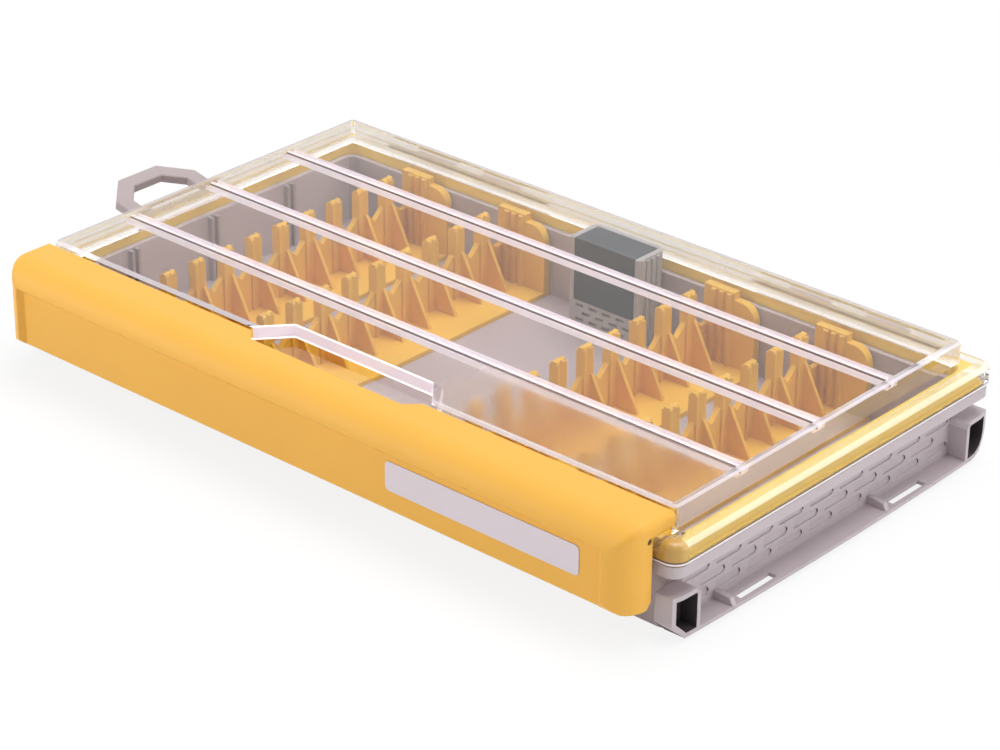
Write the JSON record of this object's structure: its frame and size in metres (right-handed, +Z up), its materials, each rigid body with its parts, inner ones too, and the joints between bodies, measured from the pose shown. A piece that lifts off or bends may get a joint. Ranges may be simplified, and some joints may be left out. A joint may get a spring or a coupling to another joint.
{
  "type": "fishing jig box",
  "caption": "Slim fishing jig box: grey tray with seal ring, clear hinged lid, full-length amber front latch, slotted jig racks, moisture block and folding carry loop.",
  "frame": {"origin": "centre of the tray's flat underside, so the box lies on z = 0", "axes": "+X to the right end (the carry loop is at the left end), +Y to the hinged back, +Z up"},
  "size_m": [0.3047, 0.1749, 0.04],
  "materials": {
    "tray": "satin",
    "lid": "clear, polished",
    "seal": "matte",
    "latch": "satin",
    "latch_label": "paper film, matte",
    "latch_pin": "smooth",
    "hinge_pin": "drawn wire",
    "rack": "satin",
    "block": "satin",
    "block_cover": "satin",
    "block_label": "printed film",
    "desiccant": "woven",
    "loop": "satin",
    "loop_pin": "drawn wire"
  },
  "bodies": {
    "base": {"base_tray": "tray", "lid_gasket": "seal", "hinge_pin_left": "hinge_pin", "hinge_pin_right": "hinge_pin", "jig_rack_1": "rack", "jig_rack_2": "rack", "jig_rack_3": "rack", "jig_rack_4": "rack", "block_housing": "block", "block_cover": "block_cover", "block_label": "block_label", "desiccant_pack": "desiccant", "loop_pin": "loop_pin"},
    "lid": {"lid": "lid"},
    "latch": {"front_latch": "latch", "latch_label": "latch_label", "latch_pin_left": "latch_pin", "latch_pin_right": "latch_pin"},
    "loop": {"carry_loop": "loop"}
  },
  "joints": [
    {"name": "lid_hinge", "type": "hinge", "parent": "base", "child": "lid", "pos_m": [0, 0.0808, 0.029], "axis": [-1, 0, 0], "range_deg": [0, 110]},
    {"name": "latch_pivot", "type": "hinge", "parent": "lid", "child": "latch", "pos_m": [0, -0.0816, 0.0343], "axis": [-1, 0, 0], "range_deg": [0, 25]},
    {"name": "loop_hinge", "type": "hinge", "parent": "base", "child": "loop", "pos_m": [-0.141, 0, 0.0245], "axis": [0, 1, 0], "range_deg": [-67, 78]}
  ]
}
